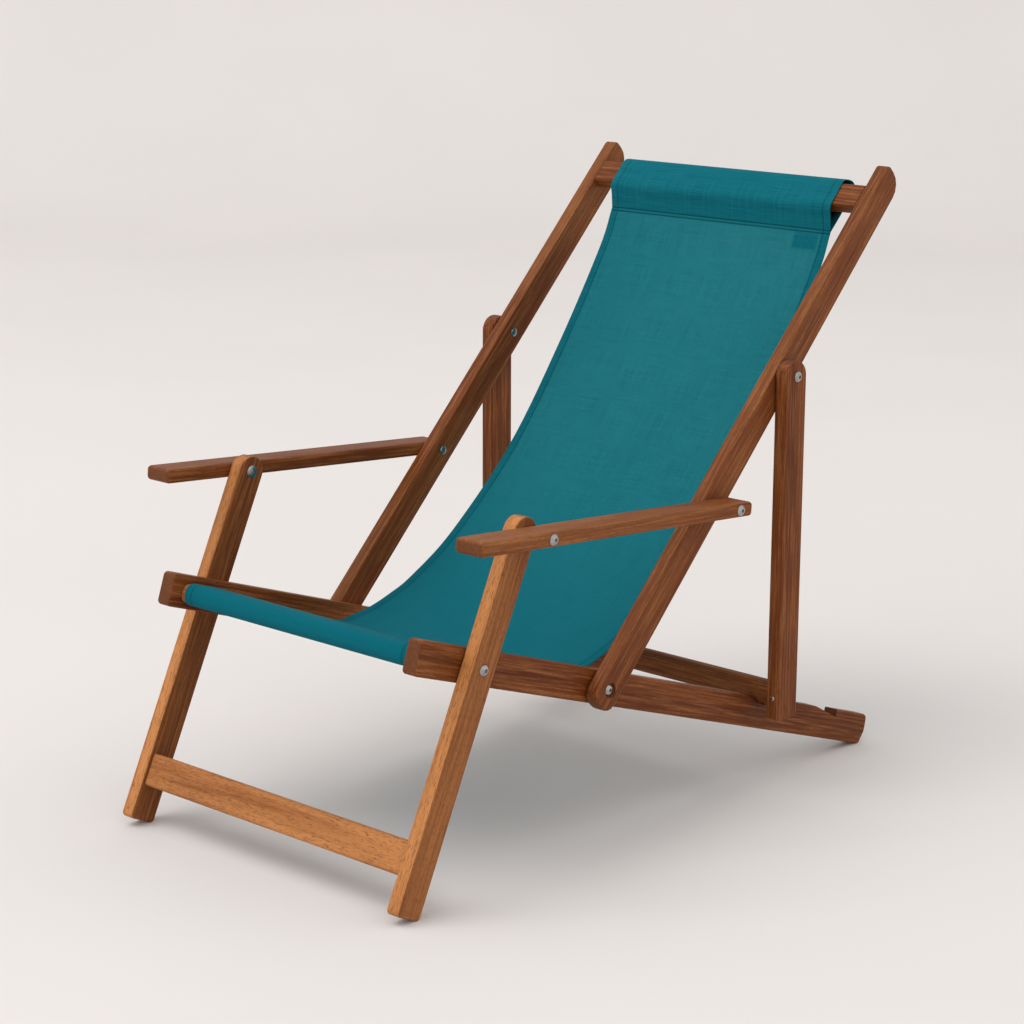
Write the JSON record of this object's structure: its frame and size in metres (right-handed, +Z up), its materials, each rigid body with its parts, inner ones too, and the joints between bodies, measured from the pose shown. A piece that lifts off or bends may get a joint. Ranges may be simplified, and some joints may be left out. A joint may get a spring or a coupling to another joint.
{
  "type": "folding deck chair",
  "caption": "Low reclining deck chair: a hinged hardwood frame with flat armrests, a prop that stands in notched seat rails, and a teal mesh sling slung between two bars.",
  "frame": {"origin": "on the floor, under the middle of the overall width and depth", "axes": "+Z up, front of the chair towards -Y, +X the side of the right-hand named parts"},
  "size_m": [0.6068, 0.9868, 0.8383],
  "materials": {
    "oiled_wood": "oiled reddish hardwood, straight grain, satin",
    "mesh_cloth": "woven teal mesh sling cloth",
    "label_cloth": "blank grey cloth label",
    "steel": "stainless, softly polished"
  },
  "bodies": {
    "seat": {"seat_rail_left": "oiled_wood", "seat_rail_right": "oiled_wood", "seat_nut_left": "steel", "seat_nut_right": "steel", "hip_nut_left": "steel", "hip_nut_right": "steel", "front_bar": "oiled_wood", "sling_seat": "mesh_cloth"},
    "back": {"back_rail_left": "oiled_wood", "back_rail_right": "oiled_wood", "arm_nut_left": "steel", "arm_nut_right": "steel", "prop_nut_left": "steel", "prop_nut_right": "steel", "hip_bolt_left": "steel", "hip_bolt_right": "steel", "hip_washer_left": "steel", "hip_washer_right": "steel", "head_bar": "oiled_wood", "sling_back": "mesh_cloth", "sling_label": "label_cloth"},
    "front_legs": {"front_leg_left": "oiled_wood", "front_leg_right": "oiled_wood", "seat_bolt_left": "steel", "seat_bolt_right": "steel", "seat_washer_left": "steel", "seat_washer_right": "steel", "leg_stretcher": "oiled_wood"},
    "prop": {"prop_leg_left": "oiled_wood", "prop_leg_right": "oiled_wood", "prop_bolt_left": "steel", "prop_bolt_right": "steel", "prop_washer_left": "steel", "prop_washer_right": "steel", "prop_screw_left": "steel", "prop_screw_right": "steel", "prop_bar": "oiled_wood"},
    "arm_left": {"armrest_left": "oiled_wood", "arm_bolt_left": "steel", "arm_washer_left": "steel", "leg_bolt_left": "steel", "leg_washer_left": "steel", "leg_nut_left": "steel"},
    "arm_right": {"armrest_right": "oiled_wood", "arm_bolt_right": "steel", "arm_washer_right": "steel", "leg_bolt_right": "steel", "leg_washer_right": "steel", "leg_nut_right": "steel"}
  },
  "joints": [
    {"name": "fold", "type": "hinge", "parent": "seat", "child": "back", "pos_m": [0, -0.11356, 0.21152], "axis": [-1, 0, 0], "range_deg": [0, 50]},
    {"name": "leg_swing", "type": "hinge", "parent": "seat", "child": "front_legs", "pos_m": [0, -0.35017, 0.28748], "axis": [-1, 0, 0], "range_deg": [0, 67]},
    {"name": "arm_left_swing", "type": "hinge", "parent": "back", "child": "arm_left", "pos_m": [-0.278, 0.08537, 0.42115], "axis": [1, 0, 0], "range_deg": [0, 39]},
    {"name": "arm_right_swing", "type": "hinge", "parent": "back", "child": "arm_right", "pos_m": [0.278, 0.08537, 0.42115], "axis": [1, 0, 0], "range_deg": [0, 39]},
    {"name": "prop_swing", "type": "hinge", "parent": "back", "child": "prop", "pos_m": [0, 0.23199, 0.57565], "axis": [1, 0, 0], "range_deg": [0, 151]}
  ],
  "couplings": [
    {"joint": "leg_swing", "follows": "fold", "ratio": 1.328},
    {"joint": "arm_left_swing", "follows": "fold", "ratio": 0.77},
    {"joint": "arm_right_swing", "follows": "fold", "ratio": 0.77},
    {"joint": "prop_swing", "follows": "fold", "ratio": 3}
  ]
}
